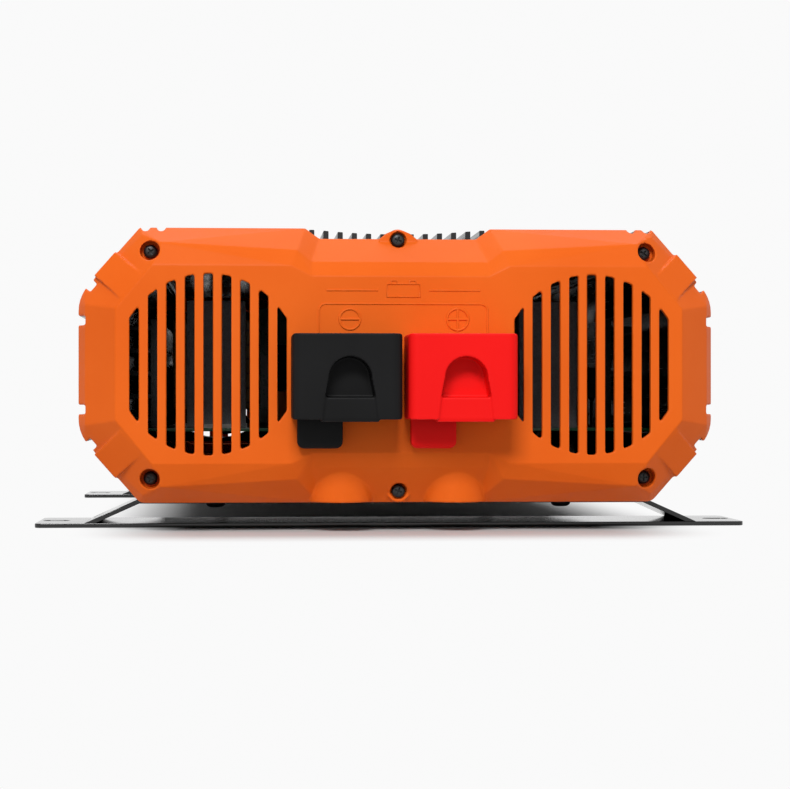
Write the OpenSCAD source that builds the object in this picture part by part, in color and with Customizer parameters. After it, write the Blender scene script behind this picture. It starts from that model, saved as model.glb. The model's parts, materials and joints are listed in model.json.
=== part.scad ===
// Power inverter: finned aluminium shell, two moulded end caps, two mounting brackets,
// battery terminals with pull-off covers in front, outlets, switch, display and fans behind.
// Millimetres. +Z is up, the battery end faces -Y, and the origin is on the floor in the
// middle of the four foot slots.

/* [Housing] */
// Length from the face of one end cap to the face of the other
body_length = 420; // [380:5:480]
// Height of the housing's centre line above the floor
axis_z = 72.3; // [70:0.1:90]
// Depth of each end cap
cap_depth = 21.6; // [21.6:0.1:24]
// Thickness of the end caps' faces
cap_wall = 3; // [2.5:0.5:3]
// Thickness of the gasket between a cap and the shell
gasket_t = 1; // [0.8:0.1:1.5]

/* [Grilles and fans] */
// Distance of each grille's centre from the middle
grille_x = 82.4; // [80:0.1:84]
// Radius of the circle that the slots fill
grille_r = 38.8; // [36:0.1:39]
// Distance between slots
slot_pitch = 7.86; // [7.5:0.02:8]
// Width of a slot
slot_w = 3.95; // [3:0.05:4.2]
// Side of the square fan frame
fan_size = 80; // [78:0.5:80]

/* [Mounting brackets] */
// Overall width of a bracket across its feet
foot_span = 321.4; // [310:0.2:340]
// Width of the bracket's strip, along the housing
strip_w = 46; // [40:1:50]
// Distance of a bracket's middle from the nearer cap face
bracket_in = 69; // [66:1:90]
// Thickness of the strip
strip_t = 2; // [1.6:0.1:2]
// End-to-end length of a foot slot
foot_slot_l = 12; // [10:0.5:14]
// Width of a foot slot
foot_slot_w = 6.5; // [5:0.5:7]

/* [Battery terminals] */
// Distance of each terminal from the middle
terminal_x = 24.2; // [23.8:0.1:25]
// Width of a terminal cover
cover_w = 46; // [44:0.5:46]
// Height of a terminal cover
cover_h = 35.9; // [34:0.1:38]
// How far a cover stands out from the cap's face
cover_out = 25; // [24:0.5:30]
// Radius of a terminal stud
stud_r = 4; // [4]

/* [Hidden] */
$fn = 48;

half_w = 138.8;                 // housing outline, half its width
half_h = 59.8;                  // and half its height
chamfer_a = 48.6;               // slope of the corner chamfers, below level
chamfer_top_x = 112.3;          // where a chamfer meets the top edge
side_corner_z = 29.8;           // where its line meets the side
side_round_r = 17;              // round between chamfer and side
dip_x = [34.3, 40.5];           // foot and top of the slope into the top's dip
dip_z = 55.3;                   // height of the dip's floor

front_x = 121.6;                // cap face outline, half its width
front_z = 42.3;                 // half its height beside the middle
front_cut = [106.4, 23.9];      // ends of its cut corners
ridge_t = 4.5;                  // depth of the line between the two bevels
bevel_t = 13;                   // depth where the side bevel meets the rim
rim_t = 18.6;                   // depth where the cap reaches its full outline
dip_drop = 4.4;                 // how much lower the face is in the middle

shell_inset = 0.3;              // the shell's outline is this much inside the caps'
shell_len = body_length - 2 * (cap_depth + gasket_t);
fin_pitch = 6.25;
fin_w = 2.3;
fin_count = 16;                 // fins on each side of the middle one
dip_floor_z = 50.5;             // floor between the fins in the dip
top_floor_z = 53.5;             // and beside it
board_top_z = -28.4;            // main board, from the centre line
board_t = 1.6;
board_half_w = 130;

screw_r = 2;                    // cap screws
corner_screw = [107.4, 48.9];
corner_seat_t = 15;             // depth of the screw heads' seats
head_r = 3;
head_h = 2.6;
middle_screw_z = 54.7;
middle_seat_t = [17, 19.4];     // bottom and top middle screws
screw_end_t = 42;
port_r = 4.1;                   // screw channels in the shell

cover_z = -5.35;                // centre of the terminal covers
cover_gap = 0.3;                // between a cover and the cap's face
base_out = 3.6;
tongue_dx = -10.8;              // the tongue's middle, from its terminal
tongue_w = 19.3;
tongue_out = 7;
tongue_r = 3.2;
tongue_top = 9.5;               // its upper end, below the terminal, clear of the nut
tongue_end_z = -35.8;

fan_t = [17, 42];               // depth of the fans in the rear cap
fan_hole_r = 37.8;
fan_bolt = 35.75;               // half the 71.5 mm bolt square

ORANGE = "darkorange";
BLACK = [0.12, 0.12, 0.13];

// --- Frames and outlines ---------------------------------------------------------------

// Draws in a cap face's own frame: x to the right, y up from the centre line, z inwards.
module front_frame() {
  translate([0, -body_length / 2, axis_z]) rotate([90, 0, 0]) mirror([0, 0, 1]) children();
}

module rear_frame() {
  rotate([0, 0, 180]) front_frame() children();
}

// One quarter of the housing outline, from the side up to the top edge.
function quarter(inset, top_r) =
  let (w = half_w - inset, h = half_h - inset,
       r2 = side_round_r - inset, z2 = side_corner_z - inset * tan((90 - chamfer_a) / 2),
       c2 = [w - r2, z2 - r2 * tan((90 - chamfer_a) / 2)],
       x1 = chamfer_top_x - inset * tan(chamfer_a / 2),
       c1 = [x1 - top_r * tan(chamfer_a / 2), h - top_r])
  concat(
    [for (i = [0:5]) let (a = i * (90 - chamfer_a) / 5) c2 + r2 * [cos(a), sin(a)]],
    [for (i = [0:4]) let (a = 90 - chamfer_a + i * chamfer_a / 4) c1 + top_r * [cos(a), sin(a)]]);

function reversed(list) = [for (i = [len(list) - 1:-1:0]) list[i]];
function scaled(list, sx, sz) = [for (p = list) [sx * p[0], sz * p[1]]];

// The outline without its dip, as seen from the front.
function outline(inset) = concat(
  quarter(inset, 1.2), reversed(scaled(quarter(inset, 1.2), -1, 1)),
  scaled(quarter(inset, 4.5), -1, -1), reversed(scaled(quarter(inset, 4.5), 1, -1)));

function octagon(w, h, cx, cz) = [[w, h - cz], [w - cx, h], [cx - w, h], [-w, h - cz],
  [-w, cz - h], [cx - w, -h], [w - cx, -h], [w, cz - h]];

module both_sides() {
  children();
  mirror([1, 0, 0]) children();
}

module box(size, at) {
  translate([at[0] - size[0] / 2, at[1] - size[1] / 2, at[2]]) cube(size);
}

module round_rect(w, h, r) {
  square([w - 2 * r, h], center = true);
  square([w, h - 2 * r], center = true);
  for (x = [-1, 1], y = [-1, 1]) translate([x * (w / 2 - r), y * (h / 2 - r)]) circle(r);
}

// Small grooves that run the whole length of the housing, cut into caps and shell alike.
module groove_profile() {
  both_sides() {
    for (x = [103, 109.8]) translate([x, half_h]) {
      circle(1.85);
      translate([-1.85, 0]) square([3.7, 4]);
    }
    for (s = [-1, 1]) {
      translate([half_w - 3.4, s * 19.25 - 2.05]) square([5, 4.1]);
      translate([134.25, s * 35.25]) rotate(s * (90 - chamfer_a)) translate([-3, -2.3]) square([8, 4.6]);
    }
  }
}

// --- End caps ---------------------------------------------------------------------------

module slab(t, points) {
  translate([0, 0, t]) linear_extrude(0.01) polygon(points);
}

// The right half of a cap's front, between its face and its rim.
module cap_lobe() {
  rim = concat(quarter(0, 1.2), [[dip_x[1], half_h], [dip_x[0], dip_z],
    [dip_x[0], -half_h]], reversed(scaled(quarter(0, 4.5), 1, -1)));
  hull() {
    slab(0, [[38.3, front_z - dip_drop], [47, front_z], [front_cut[0], front_z],
      [front_x, front_cut[1]], [front_x, -front_cut[1]], [front_cut[0], -front_z],
      [47, -front_z], [38.3, dip_drop - front_z]]);
    slab(ridge_t, [[38.1, 44.2], [44.5, 49.2], [102.7, 52.4], [102.7, -52.4],
      [44.5, -49.2], [38.1, -44.2]]);
    slab(bevel_t, [[135.5, 26], [110.8, 56.2], [60, 56.2], [60, -56.2], [110.8, -56.2],
      [135.5, -26]]);
    slab(rim_t, rim);
  }
}

module cap_middle() {
  hull() {
    slab(0, [[38.3, 37.9], [-38.3, 37.9], [-38.3, -37.9], [38.3, -37.9]]);
    slab(ridge_t, [[38.1, 44.2], [-38.1, 44.2], [-38.1, -44.2], [38.1, -44.2]]);
    slab(rim_t, [[36, dip_z], [-36, dip_z], [-36, -half_h], [36, -half_h]]);
  }
}

// A point u along a corner's chamfer and d out from the middle.
function on_chamfer(u, d) =
  u * [-cos(chamfer_a), sin(chamfer_a)] + d * [sin(chamfer_a), cos(chamfer_a)];

// A flat panel on each corner's bevel: flush at the face, proud at the rim.
panel_steps = [[1, 108.5], [14.8, 124.4], [cap_depth, 124.4]];

module corner_panels() {
  for (sx = [-1, 1], sz = [-1, 1]) hull() for (at = panel_steps)
    slab(at[0], scaled([on_chamfer(-44.4, at[1]), on_chamfer(-58.1, at[1]),
      on_chamfer(-58.1, at[1] - 10), on_chamfer(-44.4, at[1] - 10)], sx, sz));
}

module skirt_profile() {
  difference() {
    polygon(outline(0));
    polygon([[-dip_x[1], half_h + 1], [-dip_x[1], half_h], [-dip_x[0], dip_z],
      [dip_x[0], dip_z], [dip_x[1], half_h], [dip_x[1], half_h + 1]]);
  }
}

module cap_cavity() {
  translate([0, 0, cap_wall]) linear_extrude(5.01) {
    polygon(octagon(118.5, 37.5, 10.6, 12.1));
    both_sides() translate([grille_x, 0]) circle(39.5);
  }
  translate([0, 0, 8]) linear_extrude(7.01) polygon(octagon(127, 42, 15.7, 17.8));
  translate([0, 0, 15]) linear_extrude(5.01) polygon(octagon(132, 48, 18.9, 21.5));
  translate([0, 0, 20]) linear_extrude(cap_depth) polygon(octagon(132.5, 51.5, 20.1, 22.9));
}

// Slots of both grilles: their slanted ends lie on one circle.
module grille_slots() {
  for (side = [-1, 1], i = [-4:4]) {
    x0 = i * slot_pitch - slot_w / 2;
    x1 = x0 + slot_w;
    z0 = sqrt(grille_r * grille_r - x0 * x0);
    z1 = sqrt(grille_r * grille_r - x1 * x1);
    translate([side * grille_x, 0, -1]) linear_extrude(cap_wall + 2)
      polygon([[x0, -z0], [x1, -z1], [x1, z1], [x0, z0]]);
  }
}

module screw_bosses() {
  both_sides() for (s = [-1, 1]) {
    translate([corner_screw[0] - 2.9, s * (corner_screw[1] - 2.9), 8.5]) cylinder(r = 6, h = 7);
    translate([corner_screw[0], s * corner_screw[1], 14.5]) cylinder(r = 5.5, h = cap_depth - 14.5);
  }
  translate([0, middle_screw_z, 18.5]) cylinder(r = 4.9, h = cap_depth - 18.5);
  translate([0, 0, 16.5]) linear_extrude(cap_depth - 16.5)
    polygon([[-8, dip_z - 2.2], [-8, dip_z], [-5.6, 57.4], [-2.6, 58.7], [2.6, 58.7],
      [5.6, 57.4], [8, dip_z], [8, dip_z - 2.2]]);
  translate([0, -middle_screw_z, 15]) cylinder(r = 5, h = cap_depth - 15);
}

module screw_holes() {
  both_sides() for (s = [-1, 1])
    translate([corner_screw[0], s * corner_screw[1], -1]) {
      cylinder(r = 4.35, h = corner_seat_t + 1);
      cylinder(r = screw_r + 0.25, h = cap_depth + 2);
    }
  for (i = [0, 1]) translate([0, (i * 2 - 1) * middle_screw_z, -1]) {
    cylinder(r = 3.6, h = middle_seat_t[i] + 1);
    cylinder(r = screw_r + 0.25, h = cap_depth + 2);
  }
}

// The cap that both ends share, before its own openings are cut.
module cap_blank() {
  difference() {
    union() {
      difference() {
        union() {
          cap_lobe();
          mirror([1, 0, 0]) cap_lobe();
          cap_middle();
          corner_panels();
          for (x = [-25, 25]) translate([x, -half_h + 0.3, 20.4])
            rotate([-90, 0, 0]) cylinder(r = 14, h = 20);
          translate([0, 0, rim_t]) linear_extrude(cap_depth - rim_t) skirt_profile();
        }
        cap_cavity();
      }
      screw_bosses();
    }
    screw_holes();
    grille_slots();
    translate([0, 0, -1]) linear_extrude(cap_depth + 2) groove_profile();
    translate([0, 0, cap_depth]) cylinder(r = 400, h = 60);
  }
}

module front_end_cap() {
  color(ORANGE) front_frame() difference() {
    cap_blank();
    for (s = [-1, 1]) translate([s * terminal_x, cover_z, -1])
      cylinder(r = stud_r + 0.2, h = cap_wall + 2);
  }
}

module rear_end_cap() {
  color(ORANGE) rear_frame() {
    difference() {
      cap_blank();
      for (x = outlet_x) box([27, 27, 14], [x, outlet_z, -1]);
      box([19, 13.4, 14], [switch_at[0], switch_at[1], -1]);
      box([36, 14, 14], [display_at[0], display_at[1], -1]);
      box([14, 7, 14], [usb_at[0], usb_at[1], -1]);
      translate([key_at[0], key_at[1], -1]) cylinder(r = 3.5, h = 14);
      translate([breaker_at[0], breaker_at[1], -1]) cylinder(r = 5.6, h = 14);
      translate([ground_at[0], ground_at[1], -1]) cylinder(r = ground_r, h = 14);
    }
    both_sides() translate([grille_x, 0, 0]) {
      translate([0, 0, cap_wall - 0.5]) difference() {
        cylinder(r = 40.6, h = fan_t[0] - cap_wall + 0.5);
        translate([0, 0, -1]) cylinder(r = 39, h = 30);
        translate([-50, 33.5, -1]) cube([100, 20, 30]);
        translate([-50, -53.5, -1]) cube([100, 20, 30]);
      }
    }
    both_sides() translate([grille_x, 0, 0]) for (x = [-1, 1], z = [-1, 1])
      translate([x * fan_bolt, z * fan_bolt, x > 0 ? 11 : 4]) difference() {
        cylinder(r = 4, h = fan_t[0] - (x > 0 ? 11 : 4));
        translate([0, 0, 2]) cylinder(r = 1.9, h = 20);
      }
  }
}

module cap_screw(seat_t) {
  translate([0, 0, seat_t - head_h]) difference() {
    cylinder(r = head_r, h = head_h);
    for (a = [0, 90]) rotate(a) translate([-1.8, -0.4, -1]) cube([3.6, 0.8, 2.4]);
  }
  translate([0, 0, seat_t]) cylinder(r = screw_r, h = screw_end_t - seat_t);
}

module cap_screws() {
  color(BLACK) {
    both_sides() for (s = [-1, 1])
      translate([corner_screw[0], s * corner_screw[1], 0]) cap_screw(corner_seat_t);
    for (i = [0, 1]) translate([0, (i * 2 - 1) * middle_screw_z, 0])
      cap_screw(middle_seat_t[i]);
  }
}

module front_cap_screws() { front_frame() cap_screws(); }
module rear_cap_screws() { rear_frame() cap_screws(); }

// --- Shell and gaskets --------------------------------------------------------------------

shell_cavity = let (half = [[42, 47], [46, 49.5], [113.2, 49.5], [132, 28.2], [132, -28.2],
  [108.2, -55.3]]) concat(half, reversed(scaled(half, -1, 1)));

module port_positions() {
  both_sides() for (s = [-1, 1]) translate([corner_screw[0], s * corner_screw[1]]) children();
  for (s = [-1, 1]) translate([0, s * middle_screw_z]) children();
}

module fin_gaps() {
  for (side = [-1, 1], i = [0:fin_count - 1]) {
    x = i * fin_pitch + fin_pitch / 2;
    floor_z = x < dip_x[1] + 4 ? dip_floor_z : top_floor_z;
    translate([side * x, floor_z + 20]) square([fin_pitch - fin_w, 40], center = true);
  }
}

// Everything above the fins' tops, which sink in a shallow curve towards the middle.
module above_fins() {
  n = 12;
  polygon(concat(
    [for (i = [-n:n]) let (x = i / n * dip_x[1]) [x, 57.7 + 2.3 * pow(i / n, 2)]],
    [[dip_x[1], 80], [-dip_x[1], 80]]));
}

module shell_profile() {
  difference() {
    union() {
      difference() {
        polygon(outline(shell_inset));
        polygon(shell_cavity);
        fin_gaps();
        above_fins();
      }
      port_positions() circle(port_r);
      both_sides() for (z = [board_top_z + 0.1, board_top_z - board_t - 1.7])
        translate([128, z]) square([4.5, 1.6]);
    }
    port_positions() circle(screw_r);
    groove_profile();
  }
}

module body_shell() {
  color(BLACK) front_frame() difference() {
    translate([0, 0, cap_depth + gasket_t]) linear_extrude(shell_len) shell_profile();
    for (t = [bracket_in, body_length - bracket_in], x = [-80, 80])
      translate([x, -half_h, t]) rotate([-90, 0, 0]) cylinder(r = 2.5, h = 8);
  }
}

module gasket() {
  color([0.2, 0.2, 0.2]) translate([0, 0, cap_depth]) linear_extrude(gasket_t)
    difference() {
      polygon(octagon(134.6, 54.2, 20.4, 23.2));
      polygon(octagon(132.6, 50.2, 20.4, 23.2));
      port_positions() circle(screw_r + 0.4);
    }
}

module front_gasket() { front_frame() gasket(); }
module rear_gasket() { rear_frame() gasket(); }

// --- Mounting brackets -------------------------------------------------------------------

saddle_top = axis_z - half_h + shell_inset;
riser_foot_x = 138.6;
riser_top_x = 114.4;
saddle_bolt_x = 80;

module foot_bar() {
  color(BLACK) difference() {
    linear_extrude(strip_t) round_rect(foot_span, strip_w, 3);
    both_sides() translate([foot_span / 2 - 7.9, 0, -1]) linear_extrude(strip_t + 2)
      round_rect(foot_slot_l, foot_slot_w, foot_slot_w / 2 - 0.001);
  }
}

module saddle() {
  rise = saddle_top - strip_t;
  slope = atan2(rise, riser_foot_x - riser_top_x);
  inner_foot = riser_foot_x - strip_t / sin(slope);
  inner_top = inner_foot - (rise - strip_t) / tan(slope);
  half = [[riser_foot_x, strip_t], [riser_top_x, saddle_top]];
  inner = [[-inner_foot, strip_t], [-inner_top, saddle_top - strip_t],
    [inner_top, saddle_top - strip_t], [inner_foot, strip_t]];
  color(BLACK) difference() {
    translate([0, strip_w / 2, 0]) rotate([90, 0, 0]) linear_extrude(strip_w)
      polygon(concat(half, reversed(scaled(half, -1, 1)), inner));
    for (x = [-1, 1]) translate([x * saddle_bolt_x, 0, 0]) cylinder(r = 2.7, h = 30);
  }
}

module at_bracket(end) {
  translate([0, end * (body_length / 2 - bracket_in), 0]) children();
}

module front_foot_bar() { at_bracket(-1) foot_bar(); }
module rear_foot_bar() { at_bracket(1) foot_bar(); }
module front_saddle() { at_bracket(-1) saddle(); }
module rear_saddle() { at_bracket(1) saddle(); }

module saddle_screws() {
  color(BLACK) for (end = [-1, 1], x = [-1, 1]) at_bracket(end)
    translate([x * saddle_bolt_x, 0, saddle_top - strip_t - 2.8]) {
      difference() {
        cylinder(r = 4.6, h = 2.8);
        translate([0, 0, -1]) cylinder(r = 2, h = 2.6, $fn = 6);
      }
      cylinder(r = 2.5, h = 9);
    }
}

// --- Battery terminals --------------------------------------------------------------------

module at_terminal(side) {
  front_frame() translate([side * terminal_x, cover_z, 0]) children();
}

module terminal_base() {
  mid_z = tongue_end_z - cover_z;
  difference() {
    union() {
      translate([0, 0, -base_out]) linear_extrude(base_out) round_rect(40.4, 30.6, 3);
      intersection() {
        translate([tongue_dx, mid_z / 2, -tongue_out]) linear_extrude(tongue_out)
          round_rect(tongue_w, -mid_z, 3);
        translate([tongue_dx - tongue_w / 2, 0, 0]) rotate([90, 0, 90]) linear_extrude(tongue_w) {
          translate([mid_z, tongue_r - tongue_out]) square([-mid_z - tongue_top, tongue_out]);
          translate([mid_z + tongue_r, -tongue_out])
            square([-mid_z - tongue_r - tongue_top, tongue_out]);
          translate([mid_z + tongue_r, tongue_r - tongue_out]) circle(tongue_r);
        }
      }
    }
    translate([0, 0, -10]) cylinder(r = stud_r + 0.1, h = 20);
  }
}

module negative_terminal_base() { color(BLACK) at_terminal(-1) terminal_base(); }
module positive_terminal_base() { color("red") at_terminal(1) terminal_base(); }

// Finger recess: a round arch on sides that flare down to the shelf.
arch_r = 9;
arch_top = 8.4;                 // height of the arch's crown above the cover's middle
shelf = -8.7;                   // height of its shelf
shelf_half = 10.6;
recess_dx = 1.1;
recess_deep = 11;
recess_wall = 1.6;
upright_r = 4;                  // round on the cover's upright edges

module arch_profile(grow) {
  spring = arch_top - arch_r;
  translate([recess_dx, 0]) {
    translate([0, spring]) intersection() {
      circle(arch_r + grow);
      translate([-arch_r - grow, 0]) square(2 * (arch_r + grow));
    }
    polygon([[-shelf_half - grow, shelf - grow], [shelf_half + grow, shelf - grow],
      [arch_r + grow, spring], [-arch_r - grow, spring]]);
  }
}

// The cover's outside: crisp above and below, well rounded down its upright edges.
module cover_block(depth) {
  half = cover_w / 2;
  intersection() {
    linear_extrude(depth) round_rect(cover_w, cover_h, 1.2);
    translate([0, cover_h, 0]) rotate([90, 0, 0]) linear_extrude(2 * cover_h) {
      translate([-half, upright_r]) square([cover_w, depth]);
      translate([upright_r - half, 0]) square([cover_w - 2 * upright_r, depth]);
      for (s = [-1, 1]) translate([s * (half - upright_r), upright_r]) circle(upright_r);
    }
  }
}

module terminal_cover() {
  wall = 2.2;
  depth = cover_out - cover_gap;
  bottom = -cover_h / 2;
  translate([0, 0, -cover_out]) difference() {
    union() {
      cover_block(depth);
      translate([recess_dx - 12, bottom - 1, 1]) cube([24, 4, depth - 6]);
    }
    difference() {
      translate([0, 0, wall]) linear_extrude(depth)
        round_rect(cover_w - 2 * wall, cover_h - 2 * wall, 2.6);
      translate([0, 0, -1]) linear_extrude(recess_deep + recess_wall + 1) arch_profile(wall);
    }
    translate([0, 0, -1]) linear_extrude(recess_deep + 1) arch_profile(0);
    translate([recess_dx, 0, -1]) linear_extrude(1.7)
      polygon([[-shelf_half, shelf], [shelf_half, shelf],
        [shelf_half + 1.2, bottom - 2], [-shelf_half - 1.2, bottom - 2]]);
    // cable way through the cover's lower wall, above the base's tongue
    translate([tongue_dx - 10, bottom - 2, depth - 14]) cube([20, 6, 15]);
  }
}

module negative_terminal_cover() { color(BLACK) at_terminal(-1) terminal_cover(); }
module positive_terminal_cover() { color("red") at_terminal(1) terminal_cover(); }

washer_t = 1.2;
nut_h = 5;

module terminal_studs() {
  color("goldenrod") for (s = [-1, 1]) at_terminal(s) {
    translate([0, 0, -11.4]) cylinder(r = stud_r, h = 26.8);
    translate([0, 0, cap_wall]) cylinder(r = 7.5, h = 4, $fn = 6);
  }
}

module terminal_washers() {
  color("silver") for (s = [-1, 1]) at_terminal(s)
    translate([0, 0, -base_out - washer_t]) difference() {
      cylinder(r = 8, h = washer_t);
      translate([0, 0, -1]) cylinder(r = stud_r + 0.2, h = 4);
    }
}

module terminal_nuts() {
  color("silver") for (s = [-1, 1]) at_terminal(s)
    translate([0, 0, -base_out - washer_t - nut_h]) difference() {
      cylinder(r = 7.5, h = nut_h, $fn = 6);
      translate([0, 0, -1]) cylinder(r = stud_r, h = 9);
    }
}

module dc_busbars() {
  color([0.72, 0.45, 0.2]) for (s = [-1, 1]) at_terminal(s) difference() {
    union() {
      box([18, 31, 3], [0, board_top_z - cover_z + 15.5, cap_wall + 4]);
      box([18, 3, 108], [0, board_top_z - cover_z + 1.5, cap_wall + 4]);
    }
    cylinder(r = stud_r, h = 30);
  }
}

// --- Inside ---------------------------------------------------------------------------------

board_y = [-105, 120];
core_x = [66, 94.4];
core_y = [-102, -44];
core_z = [board_top_z, 33];

// A block given by its limits, with z from the housing's centre line.
module block(x, y, z) {
  translate([x[0], y[0], axis_z + z[0]]) cube([x[1] - x[0], y[1] - y[0], z[1] - z[0]]);
}

module main_board() {
  color("darkgreen") block([-board_half_w, board_half_w], board_y,
    [board_top_z - board_t, board_top_z]);
}

module transformer_cores() {
  mid_y = (core_y[0] + core_y[1]) / 2;
  color([0.35, 0.35, 0.37]) both_sides() difference() {
    block(core_x, core_y, core_z);
    for (s = [-1, 1]) translate([core_x[0] - 1, mid_y + s * 15 - 6, axis_z + core_z[0] + 8])
      cube([40, 12, core_z[1] - core_z[0] - 16]);
  }
}

module transformer_coils() {
  mid_y = (core_y[0] + core_y[1]) / 2;
  color("goldenrod") both_sides() difference() {
    block([core_x[0] - 7, core_x[1] + 7], [mid_y - 20, mid_y + 20],
      [core_z[0] + 9, core_z[1] - 9]);
    block([core_x[0] - 0.2, core_x[1] + 0.2], [mid_y - 9.2, mid_y + 9.2], [core_z[0], core_z[1]]);
    block([core_x[0] - 0.2, core_x[1] + 0.2], [mid_y - 40, mid_y - 21.5 + 1.4], core_z);
    block([core_x[0] - 0.2, core_x[1] + 0.2], [mid_y + 20.1, mid_y + 40], core_z);
  }
}

sink_x = [108, 112];
sink_y = [-98, 100];

module heat_sinks() {
  color("silver") both_sides() {
    block(sink_x, sink_y, [board_top_z, 24]);
    for (i = [0:4]) block([sink_x[1] - 1, sink_x[1] + 14], sink_y,
      [board_top_z + 3 + i * 11, board_top_z + 5.4 + i * 11]);
  }
}

transistor_count = 8;

module power_transistors() {
  color(BLACK) both_sides() for (i = [0:transistor_count - 1]) {
    y = sink_y[0] + 20 + i * 22;
    block([sink_x[0] - 4.6, sink_x[0]], [y - 5, y + 5], [-14, 1]);
    for (k = [-1:1]) block([sink_x[0] - 2.8, sink_x[0] - 2], [y + k * 2.54 - 0.4, y + k * 2.54 + 0.4],
      [board_top_z, -13.9]);
  }
}

module can(x, y, r, h) {
  translate([x, y, axis_z + board_top_z]) cylinder(r = r, h = h);
}

module input_capacitors() {
  color([0.1, 0.15, 0.35]) for (i = [-1:1], k = [0, 1]) can(i * 19, -8 + k * 19, 8, 30);
}

module bus_capacitors() {
  color([0.15, 0.15, 0.2]) for (i = [-1, 1]) can(i * 34, 74, 15, 45);
}

module output_choke() {
  color([0.7, 0.4, 0.15]) translate([0, 44, axis_z + board_top_z + 20]) rotate([90, 0, 0])
    rotate_extrude() translate([13, 0]) circle(r = 6.5);
}

module blade_fuses() {
  color("orange") for (i = [-4:3]) block([i * 13 + 2, i * 13 + 7], [-38, -19], [board_top_z, -10]);
}

module control_board() {
  color("darkgreen") block([-62, 62], [124, 125.6], [board_top_z, 40]);
}

// --- Fans -----------------------------------------------------------------------------------

fan_hub_r = 17;
fan_axle_r = 1.5;
blade_count = 7;

module at_fan(side) {
  rear_frame() translate([side * grille_x, 0, fan_t[0]]) children();
}

module fan_frame() {
  depth = fan_t[1] - fan_t[0];
  color(BLACK) difference() {
    union() {
      difference() {
        linear_extrude(depth) round_rect(fan_size, fan_size, 5);
        translate([0, 0, -1]) cylinder(r = fan_hole_r, h = depth + 2);
        for (a = [0:90:270]) rotate(a) translate([37, 0, depth / 2])
          difference() {
            translate([1.6, -24, -depth / 2 + 3.5]) cube([9, 48, depth - 7]);
            cylinder(r = 2.6, h = 100, center = true);
          }
      }
      translate([0, 0, depth - 3]) cylinder(r = fan_hub_r, h = 3);
      for (a = [45:90:315]) rotate(a) translate([fan_hub_r - 1, -2, depth - 3])
        cube([fan_size / 2 - fan_hub_r, 4, 3]);
      translate([0, 0, depth - 12]) cylinder(r = 4, h = 10);
    }
    translate([0, 0, depth - 14]) cylinder(r = fan_axle_r + 0.05, h = 12);
    for (x = [-1, 1], z = [-1, 1]) translate([x * fan_bolt, z * fan_bolt, -1])
      cylinder(r = 2.15, h = depth + 2);
  }
}

module left_fan_frame() { at_fan(1) fan_frame(); }
module right_fan_frame() { at_fan(-1) fan_frame(); }

module fan_rotor() {
  color([0.16, 0.16, 0.17]) {
    difference() {
      translate([0, 0, 2]) cylinder(r = fan_hub_r, h = 19);
      translate([0, 0, 4]) cylinder(r = fan_hub_r - 1.6, h = 19);
    }
    translate([0, 0, 3]) cylinder(r = fan_axle_r, h = 18.5);
    intersection() {
      for (i = [0:blade_count - 1]) rotate(i * 360 / blade_count)
        translate([fan_hub_r - 1, 0, 11.2]) rotate([42, 0, 0])
          translate([0, -12, -0.8]) cube([22, 24, 1.6]);
      difference() {
        translate([0, 0, 2]) cylinder(r = 36.8, h = 19);
        translate([0, 0, 1]) cylinder(r = fan_hub_r - 0.5, h = 21);
      }
    }
  }
}

module left_fan_rotor() { at_fan(1) fan_rotor(); }
module right_fan_rotor() { at_fan(-1) fan_rotor(); }

module fan_screws() {
  depth = fan_t[1] - fan_t[0];
  color("silver") for (side = [-1, 1], x = [-1, 1], z = [-1, 1])
    at_fan(side) translate([x * fan_bolt, z * fan_bolt, 0]) {
      translate([0, 0, -1.8]) cylinder(r = 1.9, h = depth + 1.8);
      translate([0, 0, depth]) cylinder(r = 3.4, h = 2.4);
    }
}

// --- Rear panel -----------------------------------------------------------------------------

outlet_x = [-18, 18];
outlet_z = 0;
display_at = [-14, 27];
key_at = [15.5, 27];
usb_at = [28.5, 27];
switch_at = [-22, -28.5];
breaker_at = [4, -28.5];
ground_at = [27, -28.5];
ground_r = 3;

module ac_outlets() {
  color([0.14, 0.14, 0.15]) rear_frame() for (x = outlet_x) translate([x, outlet_z, 0])
    difference() {
      union() {
        translate([0, 0, -2.4]) linear_extrude(2.4) round_rect(33, 33, 4);
        box([27, 27, 18], [0, 0, -0.1]);
      }
      for (s = [-1, 1]) box([2.4, 8, 16], [s * 6.35, 3, -3]);
      translate([0, -6.6, -3]) cylinder(r = 2.6, h = 16);
    }
}

module outlet_contacts() {
  color("goldenrod") rear_frame() for (x = outlet_x, s = [-1, 1])
    box([2, 7, 4], [x + s * 6.35, outlet_z + 3, 8.9]);
}

rocker_tilt = 7;

module at_switch() {
  rear_frame() translate([switch_at[0], switch_at[1], 0]) children();
}

module switch_frame() {
  color(BLACK) at_switch() difference() {
    union() {
      translate([0, 0, -1.6]) linear_extrude(1.6) round_rect(23, 17.4, 2);
      box([19, 13.4, 18], [0, 0, -0.1]);
    }
    box([16, 10.6, 14], [0, 0, -2]);
    translate([-9, 0, 3]) rotate([0, 90, 0]) cylinder(r = 1.1, h = 18);
  }
}

module switch_rocker() {
  color([0.2, 0.2, 0.21]) at_switch() translate([0, 0, 3]) rotate([rocker_tilt, 0, 0]) {
    difference() {
      translate([-7.6, 0, 0]) rotate([90, 0, 90]) linear_extrude(15.2)
        polygon([[-4.3, -5.6], [0, -4.6], [4.3, -5.6], [4.3, 0], [1.6, 3.4], [-1.6, 3.4],
          [-4.3, 0]]);
      for (s = [-1, 1]) box([5, 0.7, 1], [0, s * 2.7, -6.2]);
    }
    translate([-8.4, 0, 0]) rotate([0, 90, 0]) cylinder(r = 1.05, h = 16.8);
  }
}

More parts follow.
